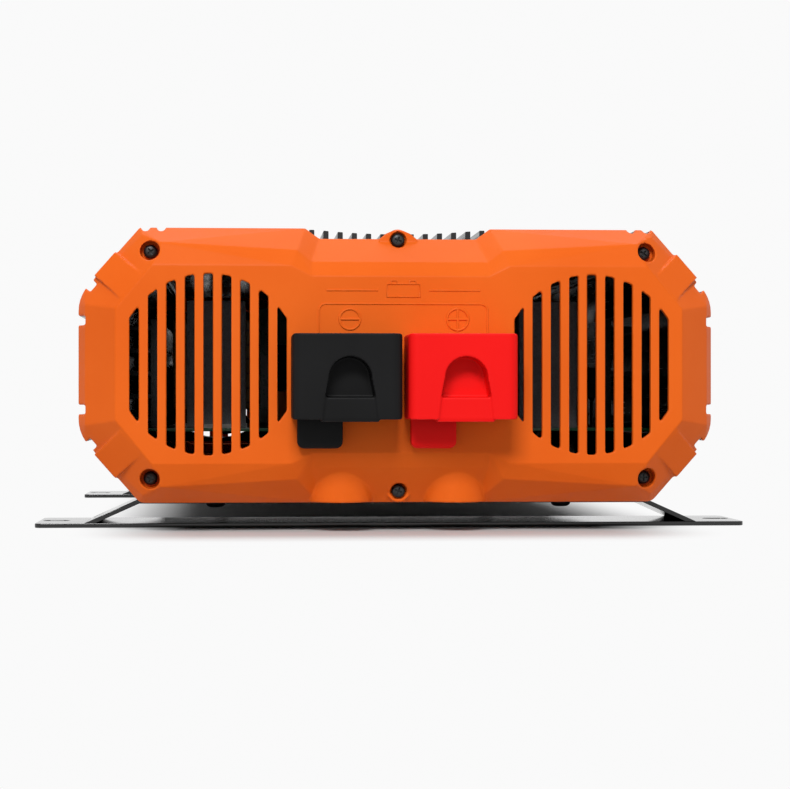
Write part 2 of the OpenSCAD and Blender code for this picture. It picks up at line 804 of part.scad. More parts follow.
module breaker_body() {
  color(BLACK) rear_frame() translate([breaker_at[0], breaker_at[1], 0]) difference() {
    union() {
      translate([0, 0, -2.2]) cylinder(r = 8, h = 2.2);
      translate([0, 0, -0.1]) cylinder(r = 5.6, h = 20);
    }
    translate([0, 0, -3]) cylinder(r = 4, h = 14);
  }
}

module breaker_button() {
  color("white") rear_frame() translate([breaker_at[0], breaker_at[1], -5.2]) {
    cylinder(r = 3.7, h = 1.2);
    translate([0, 0, 1]) cylinder(r = 3.7, h = 9);
  }
}

module display_bezel() {
  color(BLACK) rear_frame() translate([display_at[0], display_at[1], 0]) difference() {
    union() {
      translate([0, 0, -1.6]) linear_extrude(1.6) round_rect(40, 18, 2);
      box([36, 14, 7], [0, 0, -0.1]);
    }
    box([31, 10, 4], [0, 0, -2]);
  }
}

module display_lens() {
  color([0.2, 0.3, 0.5]) rear_frame() box([31, 10, 2], [display_at[0], display_at[1], -0.6]);
}

module display_button() {
  color("gray") rear_frame() translate([key_at[0], key_at[1], -2.4]) {
    cylinder(r = 3.1, h = 9);
    translate([0, 0, 5.7]) cylinder(r = 4.4, h = 2);
  }
}

module usb_port() {
  color("silver") rear_frame() translate([usb_at[0], usb_at[1], 0]) difference() {
    box([14, 7, 14.6], [0, 0, -0.6]);
    difference() {
      box([12.4, 5.4, 12], [0, 0, -2]);
      box([11, 2, 10], [0, 1.2, 1.5]);
    }
  }
}

module ground_stud() {
  color("goldenrod") rear_frame() translate([ground_at[0], ground_at[1], 0]) {
    translate([0, 0, -7.2]) cylinder(r = ground_r, h = 20);
    translate([0, 0, -17.2]) cylinder(r = ground_r - 0.25, h = 10);
    translate([0, 0, cap_wall]) cylinder(r = 5.8, h = 3.5, $fn = 6);
  }
}

module ground_nut() {
  color("silver") rear_frame() translate([ground_at[0], ground_at[1], -5.2]) difference() {
    cylinder(r = 5.8, h = 5.2, $fn = 6);
    translate([0, 0, -1]) cylinder(r = ground_r, h = 14);
  }
}

front_end_cap();
rear_end_cap();
body_shell();
front_gasket();
rear_gasket();
front_cap_screws();
rear_cap_screws();
front_foot_bar();
rear_foot_bar();
front_saddle();
rear_saddle();
saddle_screws();
negative_terminal_base();
positive_terminal_base();
negative_terminal_cover();
positive_terminal_cover();
terminal_studs();
terminal_washers();
terminal_nuts();
dc_busbars();
main_board();
transformer_cores();
transformer_coils();
heat_sinks();
power_transistors();
input_capacitors();
bus_capacitors();
output_choke();
blade_fuses();
control_board();
left_fan_frame();
right_fan_frame();
left_fan_rotor();
right_fan_rotor();
fan_screws();
ac_outlets();
outlet_contacts();
switch_frame();
switch_rocker();
breaker_body();
breaker_button();
display_bezel();
display_lens();
display_button();
usb_port();
ground_stud();
ground_nut();
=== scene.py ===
# %% [markdown]
# # A power inverter with a finned shell and moulded end caps
# The real object is a black aluminium extrusion, closed at each end by an orange moulded
# cap. Two battery terminals hide under pull-off covers in front; outlets, a switch, a
# display and two fans are at the back. The working model already fixes every size and
# every joint, so this lesson only makes the looks: softened copies of the parts whose shape
# is right, new pieces where the real ones have more detail, and a finish for each.
# The first two lines must come first, because the frame is what every piece is placed on.

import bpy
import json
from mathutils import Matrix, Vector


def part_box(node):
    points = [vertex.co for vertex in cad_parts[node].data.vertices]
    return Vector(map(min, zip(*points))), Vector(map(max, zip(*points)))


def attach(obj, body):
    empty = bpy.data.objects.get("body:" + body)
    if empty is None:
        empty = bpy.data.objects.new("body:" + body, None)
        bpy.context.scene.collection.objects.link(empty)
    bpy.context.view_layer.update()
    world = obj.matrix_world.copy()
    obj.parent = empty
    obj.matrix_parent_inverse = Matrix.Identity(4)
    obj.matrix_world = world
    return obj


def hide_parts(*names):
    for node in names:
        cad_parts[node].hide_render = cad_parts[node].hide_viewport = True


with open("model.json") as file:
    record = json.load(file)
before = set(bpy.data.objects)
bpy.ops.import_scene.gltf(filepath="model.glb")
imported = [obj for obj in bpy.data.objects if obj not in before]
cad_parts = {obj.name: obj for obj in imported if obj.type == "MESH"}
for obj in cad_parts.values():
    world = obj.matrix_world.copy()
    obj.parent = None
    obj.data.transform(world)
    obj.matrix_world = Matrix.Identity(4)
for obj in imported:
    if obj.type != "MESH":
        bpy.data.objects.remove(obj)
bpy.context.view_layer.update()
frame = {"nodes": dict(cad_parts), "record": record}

import json
import math

import bmesh
import bpy
from mathutils import Matrix, Vector

MM = 0.001
scene = bpy.context.scene

# %% [markdown]
# ## The camera
# The object is seen almost square on, from a little left of its middle and from a low
# height, through a long lens. The lens could be found by trial, but two facts fix it: how
# wide the near end looks and how much smaller the far bracket looks. The camera is turned a
# few degrees to bring the object to the middle, and a small shift does the rest.

# %% Camera
front_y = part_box("front_end_cap")[0].y
rear_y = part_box("rear_end_cap")[1].y
axis_z = (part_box("front_end_cap")[0].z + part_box("front_end_cap")[1].z) / 2
camera_data = bpy.data.cameras.new("camera")
camera_data.lens = 89.7
camera_data.sensor_width = 36
camera_data.shift_x = 0.0485
camera_data.shift_y = 0.011
camera = bpy.data.objects.new("camera", camera_data)
camera.location = (-0.0687, front_y - 0.84, 0.0558)
camera.rotation_euler = (math.radians(90), 0, math.radians(-3.38))
scene.collection.objects.link(camera)
scene.camera = camera
print("camera", [round(v, 3) for v in camera.location], "axis height", round(axis_z, 4))

# %% [markdown]
# ## Floor and light
# A product on white needs a floor that ends nowhere: one big pale plane under a pale sky
# does that without a curved backdrop, if it turns into the sky's own white. It is a real
# floor only in a box under the object, and fades to plain white round that box.
# The sky is bright at the horizon and dimmer overhead. A lamp high in front is the main
# light and throws the covers' shadows down the face; one overhead puts the sheen on the
# upper bevels. A white room would fill every shadow, so floor and sky give less to matt
# faces and after a first mirroring. That is a studio trick and not how light behaves, and
# none of it is in the object's own finishes.

# %% Floor and light
bpy.ops.mesh.primitive_plane_add(size=60, location=(0, 0, -0.0004))
floor = bpy.context.object
floor.name = "floor"
floor_finish = bpy.data.materials.new("pale_floor")
floor_finish.use_nodes = True
paint = floor_finish.node_tree
floor_shader = paint.nodes["Principled BSDF"]
floor_shader.inputs["Base Color"].default_value = (0.86, 0.86, 0.86, 1)
floor_shader.inputs["Roughness"].default_value = 0.55
floor_shader.inputs["Specular IOR Level"].default_value = 0.2
SKY = (0.955, 0.955, 0.955, 1)
glow = paint.nodes.new("ShaderNodeEmission")
glow.inputs["Color"].default_value = SKY
spot = paint.nodes.new("ShaderNodeTexCoord")
SHADOW_HALF = (0.085, 0.2, 0)  # half sides of the box of real floor, in metres
FADE = (0.005, 0.06)  # where outside it the fade to white starts and ends, in metres
away = [paint.nodes.new("ShaderNodeVectorMath") for step in range(4)]
for step, kind in zip(away, ("ABSOLUTE", "SUBTRACT", "MAXIMUM", "LENGTH")):
    step.operation = kind
away[1].inputs[1].default_value = SHADOW_HALF
away[2].inputs[1].default_value = (0, 0, 0)
fade = paint.nodes.new("ShaderNodeMapRange")
fade.interpolation_type = "SMOOTHSTEP"
fade.inputs["From Min"].default_value = FADE[0]
fade.inputs["From Max"].default_value = FADE[1]
both = paint.nodes.new("ShaderNodeMixShader")
paint.links.new(spot.outputs["Object"], away[0].inputs[0])
for before, after in zip(away, away[1:]):
    paint.links.new(before.outputs[0], after.inputs[0])
paint.links.new(away[3].outputs["Value"], fade.inputs["Value"])
paint.links.new(fade.outputs["Result"], both.inputs["Fac"])
paint.links.new(floor_shader.outputs[0], both.inputs[1])
paint.links.new(glow.outputs[0], both.inputs[2])
paint.links.new(both.outputs[0], paint.nodes["Material Output"].inputs["Surface"])
floor.data.materials.append(floor_finish)

world = bpy.data.worlds.new("studio")
scene.world = world
world.use_nodes = True
sky = world.node_tree
direction = sky.nodes.new("ShaderNodeTexCoord")
split = sky.nodes.new("ShaderNodeSeparateXYZ")
fall = sky.nodes.new("ShaderNodeValToRGB")
fall.color_ramp.elements[0].position = 0.22
fall.color_ramp.elements[0].color = SKY
fall.color_ramp.elements[1].position = 0.75
fall.color_ramp.elements[1].color = (0.5, 0.5, 0.51, 1)
sky.links.new(direction.outputs["Generated"], split.inputs[0])
sky.links.new(split.outputs["Z"], fall.inputs["Fac"])
sky.links.new(fall.outputs["Color"], sky.nodes["Background"].inputs["Color"])


BOUNCE_SHARE = 0.3  # of floor and sky, what each further bounce keeps
MATT_SHARE = 0.5  # and what matt faces get


def tires_with_bounces(tree, emitter, first):
    """Emitter keeps its white when seen directly or mirrored once, at ray depth first. After
    that each bounce leaves a share of it, and matt faces get a share as well."""
    path = tree.nodes.new("ShaderNodeLightPath")

    def step(kind, *values):
        maths = tree.nodes.new("ShaderNodeMath")
        maths.operation = kind
        for socket, value in zip(maths.inputs, values):
            if isinstance(value, (int, float)):
                socket.default_value = value
            else:
                tree.links.new(value, socket)
        return maths.outputs["Value"]

    bounces = step("MAXIMUM", step("SUBTRACT", path.outputs["Ray Depth"], first), 0)
    mirrored = step("POWER", BOUNCE_SHARE, bounces)
    matt = step("POWER", MATT_SHARE, path.outputs["Is Diffuse Ray"])
    tree.links.new(step("MULTIPLY", mirrored, matt), emitter.inputs["Strength"])


tires_with_bounces(sky, sky.nodes["Background"], 2)
tires_with_bounces(paint, glow, 1)


def lamp(name, size, power, place, target):
    """A soft rectangular lamp at place that shines at target."""
    data = bpy.data.lights.new(name, "AREA")
    data.shape = "RECTANGLE"
    data.size, data.size_y = size
    data.energy = power
    made = bpy.data.objects.new(name, data)
    made.location = place
    made.rotation_euler = (Vector(target) - Vector(place)).to_track_quat("-Z", "Y").to_euler()
    scene.collection.objects.link(made)
    return made


lamp("top_lamp", (1.8, 0.9), 11, (0, 0.45, 1.5), (0, 0, 0.1))
lamp("front_lamp", (0.8, 0.5), 36, (-0.3, -2.0, 1.35), (0, -0.1, 0.07))
scene.view_settings.view_transform = "Standard"

# %% [markdown]
# ## Tools for shaping
# Operators work on whatever is selected, and the loaded parts start out selected, so the
# first tool deselects everything and picks one piece. A loaded part is loose triangles: its
# copy is merged and its flat areas are joined up again before its edges are rounded. Real
# moulded and pressed parts have no sharp edges, and a rounded edge is what catches light.

# %% Tools for shaping
def only(piece):
    """Deselects everything, then makes piece the selected and active object."""
    bpy.ops.object.select_all(action="DESELECT")
    piece.select_set(True)
    bpy.context.view_layer.objects.active = piece
    return piece


def apply(piece, kind, **settings):
    """Adds a modifier of a kind with its settings, and applies it."""
    only(piece)
    modifier = piece.modifiers.new(kind.lower(), kind)
    for key, value in settings.items():
        setattr(modifier, key, value)
    bpy.ops.object.modifier_apply(modifier=modifier.name)
    return piece


def smooth(piece, angle=35):
    """Smooth shading across shallow edges only, with flat areas kept flat."""
    only(piece)
    bpy.ops.object.shade_smooth_by_angle(angle=math.radians(angle))
    return apply(piece, "WEIGHTED_NORMAL", keep_sharp=True, weight=60)


SHARP = 32  # degrees across an edge that count as sharp


def soften(piece, width, shortest=0.0):
    """Rounds sharp edges longer than shortest with a bevel, in millimetres."""
    only(piece)
    bpy.ops.object.mode_set(mode="EDIT")
    bpy.ops.mesh.select_all(action="SELECT")
    bpy.ops.mesh.tris_convert_to_quads(face_threshold=math.radians(1),
                                       shape_threshold=math.radians(180))
    shape = bmesh.from_edit_mesh(piece.data)
    weight = shape.edges.layers.float.new("bevel_weight_edge")
    for edge in shape.edges:
        sharp = edge.is_manifold and edge.calc_face_angle() > math.radians(SHARP)
        edge[weight] = float(sharp and edge.calc_length() > shortest * MM)
    bmesh.update_edit_mesh(piece.data)
    bpy.ops.object.mode_set(mode="OBJECT")
    apply(piece, "BEVEL", width=width * MM, segments=2, limit_method="WEIGHT",
          loop_slide=False, use_clamp_overlap=False)
    return smooth(piece)


def mould(piece, cell, passes=3, keep=1.0):
    """Rounds every edge as a mould does: rebuilt in cells of millimetres, relaxed, thinned."""
    apply(piece, "REMESH", mode="VOXEL", voxel_size=cell * MM)
    apply(piece, "SMOOTH", factor=0.5, iterations=passes)
    if keep < 1:
        apply(piece, "DECIMATE", decimate_type="COLLAPSE", ratio=keep)
    return smooth(piece, 50)


def copy_of(node):
    """A merged copy of a loaded part, as one clean mesh of its own."""
    source = frame["nodes"][node]
    piece = bpy.data.objects.new(node + "_look", source.data.copy())
    scene.collection.objects.link(piece)
    only(piece)
    piece.data.materials.clear()
    bpy.ops.mesh.customdata_custom_splitnormals_clear()
    bpy.ops.object.mode_set(mode="EDIT")
    bpy.ops.mesh.select_all(action="SELECT")
    bpy.ops.mesh.remove_doubles(threshold=2e-6)
    bpy.ops.object.mode_set(mode="OBJECT")
    return piece


body_of = {n: b for b, names in frame["record"]["behaviour"]["bodies"].items() for n in names}


def rides(piece, finish, body):
    """Gives a new piece its finish and body."""
    piece.data.materials.clear()
    piece.data.materials.append(finish)
    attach(piece, body)
    print(piece.name, "faces", len(piece.data.polygons), "on", body)
    return piece


def stands_for(piece, finish, node):
    """Gives piece its finish and the body of the part it replaces, and hides that part."""
    rides(piece, finish, body_of[node])
    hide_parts(node)
    return piece


# %% [markdown]
# ## Tools for turned and joined pieces
# Screws, studs, cans and hubs are all round, so one tool makes them: it starts from a disc
# and extrudes and scales it ring by ring, as one would by hand in edit mode. Places are
# given in the end cap's own terms: to the right, up from the middle, and inwards.

# %% Tools for turned and joined pieces
def at_front(x, up, depth):
    """A place given from the middle of the battery end's face, in millimetres."""
    return Vector((x * MM, front_y + depth * MM, axis_z + up * MM))


def at_rear(x, up, depth):
    """The same for the outlet end, as seen by someone who looks at it."""
    return Vector((-x * MM, rear_y - depth * MM, axis_z + up * MM))


INWARD = {at_front: (0, 1, 0), at_rear: (0, -1, 0)}
CAP_CORNER = (107.4, 48.9)
CAP_MIDDLE = 54.7
GRILLE_X = 82.4
FAN_BOLT = 35.75
FAN_DEPTH = 17
TERMINALS = [(-24.2, -5.35), (24.2, -5.35)]
BREAKER = (4, -28.5, 0)
EARTH = (27, -28.5, 0)
USB_TONGUE = (28.5, 28.2, 6.4)


def put(piece, start, aim=(0, 0, 1), spin=0):
    """Turns a piece made along Z to aim, moves it to start, and keeps that in its mesh."""
    only(piece)
    piece.rotation_mode = "QUATERNION"
    turn = Vector(aim).to_track_quat("Z", "Y")
    piece.rotation_quaternion = turn @ Matrix.Rotation(math.radians(spin), 3, "Z").to_quaternion()
    piece.location = start
    bpy.ops.object.transform_apply(location=True, rotation=True, scale=True)
    return piece


def turned(name, rings, sides=32):
    """A round solid along Z: each ring is (height, radius), in millimetres."""
    height, radius = rings[0]
    bpy.ops.mesh.primitive_circle_add(vertices=sides, radius=radius * MM, fill_type="NGON",
                                      location=(0, 0, 0))
    piece = bpy.context.object
    piece.name = name
    bpy.ops.object.mode_set(mode="EDIT")
    bpy.ops.mesh.select_all(action="SELECT")
    bpy.ops.transform.translate(value=(0, 0, height * MM))
    for next_height, next_radius in rings[1:]:
        step = (0, 0, (next_height - height) * MM)
        bpy.ops.mesh.extrude_region_move(TRANSFORM_OT_translate={"value": step})
        if next_radius != radius:
            scale = next_radius / radius
            bpy.ops.transform.resize(value=(scale, scale, 1),
                                     center_override=(0, 0, next_height * MM))
        height, radius = next_height, next_radius
    bpy.ops.mesh.select_all(action="SELECT")
    bpy.ops.mesh.normals_make_consistent(inside=False)
    bpy.ops.object.mode_set(mode="OBJECT")
    return piece


def block(name, size, middle, edge=0.2):
    """A box of size and middle in metres, with its edges rounded by edge millimetres."""
    bpy.ops.object.select_all(action="DESELECT")
    bpy.ops.mesh.primitive_cube_add(size=1, location=middle)
    piece = bpy.context.object
    piece.name = name
    piece.scale = size
    bpy.ops.object.transform_apply(location=True, rotation=True, scale=True)
    return apply(piece, "BEVEL", width=edge * MM, segments=2, limit_method="ANGLE")


def again(piece):
    """A copy of piece with its own mesh."""
    twin = piece.copy()
    twin.data = piece.data.copy()
    scene.collection.objects.link(twin)
    return twin


def cut(piece, tool):
    """Takes tool's shape out of piece, and removes tool."""
    apply(piece, "BOOLEAN", operation="DIFFERENCE", object=tool, solver="EXACT")
    bpy.data.objects.remove(tool)
    return piece


def copies(first, count):
    """first and its copies, count pieces in all."""
    return [first] + [again(first) for extra in range(count - 1)]


def joined(name, pieces):
    """Several pieces made one."""
    only(pieces[0])
    for piece in pieces:
        piece.select_set(True)
    bpy.ops.object.join()
    made = bpy.context.object
    made.name = name
    return made


def thread(start, end, radius, pitch, depth):
    """Rings for a threaded length, crest and root in turn."""
    count = int((end - start) / pitch * 2)
    step = (end - start) / count
    return [(start + i * step, radius - (depth if i % 2 else 0)) for i in range(count + 1)]

# %% [markdown]
# ## Tools for finishes
# Each finish is a Principled shader fed by patterns that read the piece's own place, so
# that a pattern has a true size in millimetres and moves with the piece. A picture would
# need a file and a flat unwrapping; noise, waves and cells need neither. The tools below
# keep a finish to a few lines: a pattern, a colour spread between two colours, a spread of
# gloss, and a little height.

# %% Tools for finishes
def node(finish, kind, inputs=None, **settings):
    """A shader node with its settings, and its inputs set to values or to outputs."""
    made = finish.node_tree.nodes.new("ShaderNode" + kind)
    for key, value in settings.items():
        setattr(made, key, value)
    for key, value in (inputs or {}).items():
        if isinstance(value, bpy.types.NodeSocket):
            finish.node_tree.links.new(value, made.inputs[key])
        else:
            made.inputs[key].default_value = value
    return made


def new_finish(name, metallic=0.0, specular=0.5, coat=0.0):
    """A finish whose even qualities are set on the shader itself."""
    finish = bpy.data.materials.new(name)
    finish.use_nodes = True
    shader = finish.node_tree.nodes["Principled BSDF"]
    shader.inputs["Metallic"].default_value = metallic
    shader.inputs["Specular IOR Level"].default_value = specular
    shader.inputs["Coat Weight"].default_value = coat
    shader.inputs["Coat Roughness"].default_value = 0.1
    return finish


def place(finish, size, stretch=(1, 1, 1), turn=(0, 0, 0)):
    """The piece's own place, counted in grains of size millimetres."""
    where = node(finish, "TexCoord").outputs["Object"]
    return node(finish, "Mapping", {
        "Vector": where, "Rotation": [math.radians(a) for a in turn],
        "Scale": [1 / (size * MM * s) for s in stretch]}).outputs["Vector"]


def noise(finish, size, stretch=(1, 1, 1), detail=3.0):
    """Cloudy noise whose grains are about size millimetres across."""
    return node(finish, "TexNoise", {"Vector": place(finish, size, stretch), "Scale": 1.0,
                                     "Detail": detail}).outputs["Fac"]


def spread(finish, value, low, high, start=0.3, end=0.7):
    """Turns a pattern into a number from low to high."""
    return node(finish, "MapRange", {"Value": value, "From Min": start, "From Max": end,
                                     "To Min": low, "To Max": high}).outputs["Result"]


def mix(finish, value, first, second):
    """Turns a pattern into a colour between first and second."""
    made = node(finish, "Mix", {"Factor": value}, data_type="RGBA")
    for socket, colour in ((made.inputs[6], first), (made.inputs[7], second)):
        if isinstance(colour, bpy.types.NodeSocket):
            finish.node_tree.links.new(colour, socket)
        else:
            socket.default_value = (*colour, 1)
    return made.outputs[2]


def sum_of(finish, first, second, share=1.0):
    """first plus share times second."""
    return node(finish, "Math", {0: second, 1: share, 2: first}, operation="MULTIPLY_ADD").outputs[0]


def worn_edges(finish, radius):
    """1 on sharp edges and 0 on flats: where a rounded-off normal leaves the real one."""
    rounded = node(finish, "Bevel", {"Radius": radius * MM}, samples=4).outputs["Normal"]
    real = node(finish, "NewGeometry").outputs["Normal"]
    same = node(finish, "VectorMath", {0: rounded, 1: real}, operation="DOT_PRODUCT").outputs["Value"]
    return spread(finish, same, 1.0, 0.0, 0.75, 0.985)


def dress(finish, colour, roughness, height=None, strength=0.3, distance=0.05):
    """Feeds colour, roughness and height to the shader."""
    shader = finish.node_tree.nodes["Principled BSDF"]
    for name, value in (("Base Color", colour), ("Roughness", roughness)):
        if isinstance(value, bpy.types.NodeSocket):
            finish.node_tree.links.new(value, shader.inputs[name])
        else:
            shader.inputs[name].default_value = value if name == "Roughness" else (*value, 1)
    if height is not None:
        bump = node(finish, "Bump", {"Height": height, "Strength": strength,
                                     "Distance": distance * MM})
        finish.node_tree.links.new(bump.outputs["Normal"], shader.inputs["Normal"])
    return finish

# %% [markdown]
# ## Moulded plastics
# The caps are moulded from dyed plastic in a spark-eroded mould: a fine satin grain, a
# faint cloudiness in the colour where the melt flowed, and edges rubbed a little paler by
# handling. The covers are the same kind of plastic in black and red. One function makes
# them all, because only the colours and the gloss differ.

# %% Moulded plastics
def moulded(name, colour, cloud, rubbed, gloss=(0.38, 0.5), grain=0.35, relief=0.22, specular=0.09):
    """Satin moulded plastic: cloudy colour, grained surface, rubbed edges."""
    finish = new_finish(name, specular=specular)
    body = mix(finish, spread(finish, noise(finish, 38, detail=4.0), 0, 1), colour, cloud)
    wear = worn_edges(finish, 0.9)
    scuff = spread(finish, noise(finish, 5), 0.0, 0.55, 0.42, 0.7)
    worn = node(finish, "Math", {0: wear, 1: scuff}, operation="MULTIPLY").outputs[0]
    fine = noise(finish, grain, detail=2.0)
    rough = spread(finish, sum_of(finish, fine, noise(finish, 21), 0.6), *gloss, start=0.5, end=1.1)
    return dress(finish, mix(finish, worn, body, rubbed), rough, fine, relief, 0.05)


orange = moulded("orange_moulded_plastic", (0.84, 0.14, 0.012), (0.8, 0.124, 0.009),
                 (0.9, 0.24, 0.06), gloss=(0.36, 0.46))
black_plastic = moulded("black_moulded_plastic", (0.0085, 0.0085, 0.0087), (0.0115, 0.0115, 0.012),
                        (0.05, 0.05, 0.05), gloss=(0.36, 0.46), specular=0.07)
red_plastic = moulded("red_moulded_plastic", (0.93, 0.009, 0.008), (0.89, 0.0075, 0.0075),
                      (0.9, 0.07, 0.06), gloss=(0.38, 0.5))
fan_plastic = moulded("fan_plastic", (0.012, 0.012, 0.013), (0.02, 0.02, 0.021),
                      (0.06, 0.06, 0.06), gloss=(0.28, 0.4), grain=0.8, relief=0.1)
rocker_plastic = moulded("rocker_plastic", (0.01, 0.01, 0.011), (0.014, 0.014, 0.015),
                         (0.05, 0.05, 0.05), gloss=(0.14, 0.24), grain=0.9, relief=0.06)
grey_plastic = moulded("grey_plastic", (0.16, 0.165, 0.17), (0.13, 0.135, 0.14),
                       (0.3, 0.3, 0.3), gloss=(0.4, 0.55))
white_plastic = moulded("white_plastic", (0.74, 0.735, 0.7), (0.68, 0.67, 0.62),
                        (0.82, 0.82, 0.8), gloss=(0.3, 0.42))
component_black = moulded("component_epoxy", (0.018, 0.018, 0.019), (0.03, 0.03, 0.03),
                          (0.07, 0.07, 0.07), gloss=(0.5, 0.7), grain=0.5, relief=0.3)
print("plastics", [m.name for m in bpy.data.materials if "plastic" in m.name])

# %% [markdown]
# ## Metals
# The shell is extruded and anodised black, so its surface has fine lines along its length
# and nothing across. The brackets are steel strip with a glossy powder coat, which has a
# gentle orange-peel waviness. Screws are blackened, washers and nuts are zinc plated with
# a faint straw tint, studs and contacts are brass, busbars are copper with darkened patches.

# %% Metals
def metal(name, colour, stain, size=12, line=(1, 1, 1), grain=0.5, gloss=(0.25, 0.4), relief=0.12,
          metallic=1.0, specular=0.5):
    """A metal or coated metal: stained patches, and a grain that may run in lines."""
    finish = new_finish(name, metallic=metallic, specular=specular)
    patches = noise(finish, size, detail=4.0)
    fine = noise(finish, grain, line, detail=2.0)
    rough = spread(finish, sum_of(finish, patches, fine, 0.8), *gloss, start=0.6, end=1.2)
    return dress(finish, mix(finish, spread(finish, patches, 0, 1), colour, stain), rough, fine, relief)


black_aluminium = metal("black_anodised_aluminium", (0.009, 0.009, 0.0098), (0.013, 0.013, 0.014),
                        size=30, line=(1, 160, 1), grain=0.45, gloss=(0.17, 0.3), relief=0.2,
                        metallic=0.0, specular=0.4)
black_steel = metal("black_powder_coat", (0.006, 0.006, 0.0063), (0.009, 0.009, 0.0093), size=24,
                    grain=1.6, gloss=(0.07, 0.12), relief=0.04, metallic=0.0, specular=0.5)
black_screw = metal("blackened_steel", (0.025, 0.025, 0.027), (0.045, 0.044, 0.042), size=2.5,
                    grain=0.3, gloss=(0.34, 0.5), metallic=0.7)
zinc_steel = metal("zinc_plated_steel", (0.56, 0.56, 0.53), (0.62, 0.57, 0.43), size=3,
                   grain=0.25, gloss=(0.24, 0.42))
nickel = metal("nickel_plated_steel", (0.6, 0.585, 0.55), (0.52, 0.5, 0.46), size=4, grain=0.3,
               gloss=(0.16, 0.28))
brass = metal("turned_brass", (0.63, 0.42, 0.14), (0.5, 0.31, 0.1), size=4, line=(1, 30, 1),
              grain=0.2, gloss=(0.2, 0.36))
copper = metal("copper_bar", (0.72, 0.29, 0.16), (0.4, 0.16, 0.09), size=14, line=(1, 40, 1),
               grain=0.3, gloss=(0.24, 0.45))

# %% [markdown]
# ## Rubber, ferrite, tape and boards
# What is left is inside: a matte rubber gasket, sintered ferrite with a sandy sparkle,
# dark amber polyester tape wound in turns, green boards with copper tracks under the lacquer,
# printed capacitor sleeves and tinted fuse bodies. They show through the grilles and in an
# opened view, so each has its own pattern and none is one flat colour.

# %% Rubber, ferrite, tape and boards
gasket_rubber = new_finish("gasket_rubber", specular=0.3)
dress(gasket_rubber,
      mix(gasket_rubber, noise(gasket_rubber, 9), (0.013, 0.013, 0.013), (0.026, 0.026, 0.025)),
      spread(gasket_rubber, noise(gasket_rubber, 3), 0.7, 0.88), noise(gasket_rubber, 0.6), 0.3)

ferrite = new_finish("sintered_ferrite", specular=0.35)
sand = noise(ferrite, 0.35, detail=2.0)
dress(ferrite, mix(ferrite, spread(ferrite, sand, 0, 1, 0.35, 0.65), (0.3, 0.3, 0.32),
                   (0.42, 0.42, 0.44)),
      spread(ferrite, noise(ferrite, 6), 0.5, 0.72), sand, 0.35)

winding_tape = new_finish("winding_tape", specular=0.25)
turns = node(winding_tape, "TexWave", {"Vector": place(winding_tape, 1), "Scale": 0.045,
                                       "Distortion": 0.6, "Detail": 1.0},
             wave_type="BANDS", bands_direction="Z", wave_profile="SAW").outputs["Fac"]
dress(winding_tape, mix(winding_tape, spread(winding_tape, turns, 0, 1, 0.02, 0.2),
                        (0.07, 0.034, 0.006), (0.17, 0.1, 0.015)),
      spread(winding_tape, noise(winding_tape, 8), 0.22, 0.4), turns, 0.5, 0.2)

circuit_board = new_finish("circuit_board", specular=0.5, coat=0.3)
tracks = node(circuit_board, "TexBrick", {
    "Vector": place(circuit_board, 1), "Scale": 0.06, "Mortar Size": 0.016, "Mortar Smooth": 0.2,
    "Color1": (0, 0, 0, 1), "Color2": (0, 0, 0, 1), "Mortar": (1, 1, 1, 1)}).outputs["Fac"]
lacquer = mix(circuit_board, noise(circuit_board, 25), (0.006, 0.1, 0.028), (0.01, 0.14, 0.045))
dress(circuit_board, mix(circuit_board, tracks, lacquer, (0.03, 0.24, 0.07)),
      spread(circuit_board, noise(circuit_board, 4), 0.22, 0.4), tracks, 0.4, 0.06)

capacitor_sleeve = new_finish("capacitor_sleeve", specular=0.5, coat=0.4)
dress(capacitor_sleeve, mix(capacitor_sleeve, spread(capacitor_sleeve, noise(capacitor_sleeve, 7), 0, 1),
                            (0.008, 0.014, 0.05), (0.014, 0.024, 0.08)),
      spread(capacitor_sleeve, noise(capacitor_sleeve, 2), 0.2, 0.34),
      noise(capacitor_sleeve, 3), 0.12)

fuse_plastic = moulded("tinted_fuse_plastic", (0.75, 0.2, 0.015), (0.66, 0.16, 0.01),
                       (0.85, 0.36, 0.1), gloss=(0.12, 0.24), grain=1.2, relief=0.05)
print("finishes", len(bpy.data.materials))

# %% [markdown]
# ## Display glass
# The display is a dark glossy window. Behind it a grid of fine cells shows faintly, as an
# unlit screen does. A brick pattern with equal sides makes such a grid.

# %% Display glass
display_glass = new_finish("display_glass", specular=0.6, coat=0.6)
cells = node(display_glass, "TexBrick", {
    "Vector": place(display_glass, 1, turn=(90, 0, 0)), "Scale": 1.1, "Mortar Size": 0.03,
    "Color1": (1, 1, 1, 1), "Color2": (1, 1, 1, 1), "Mortar": (0, 0, 0, 1)}).outputs["Fac"]
dress(display_glass, mix(display_glass, cells, (0.012, 0.02, 0.035), (0.02, 0.032, 0.05)),
      spread(display_glass, noise(display_glass, 12), 0.04, 0.1))
print("display glass ready")

# %% [markdown]
# ## Housing
# Both caps have the right shape already: bevels, dip, grilles, panels and notches. What a
# moulding has and they lack is a small round on every edge. A bevel would stumble over the
# many short edges round the notches, so each cap's copy is rebuilt from small cells, relaxed
# and thinned instead, which rounds everything alike. The shell is an extrusion, with long
# clean edges, so a bevel along those is enough.

# %% Housing
for end, kept in (("front", 0.24), ("rear", 0.2)):
    stands_for(mould(copy_of(f"{end}_end_cap"), 0.5, 3, kept), orange, f"{end}_end_cap")
    stands_for(mould(copy_of(f"{end}_gasket"), 0.5, 2, 0.5), gasket_rubber, f"{end}_gasket")
stands_for(soften(copy_of("body_shell"), 0.3, 20), black_aluminium, "body_shell")

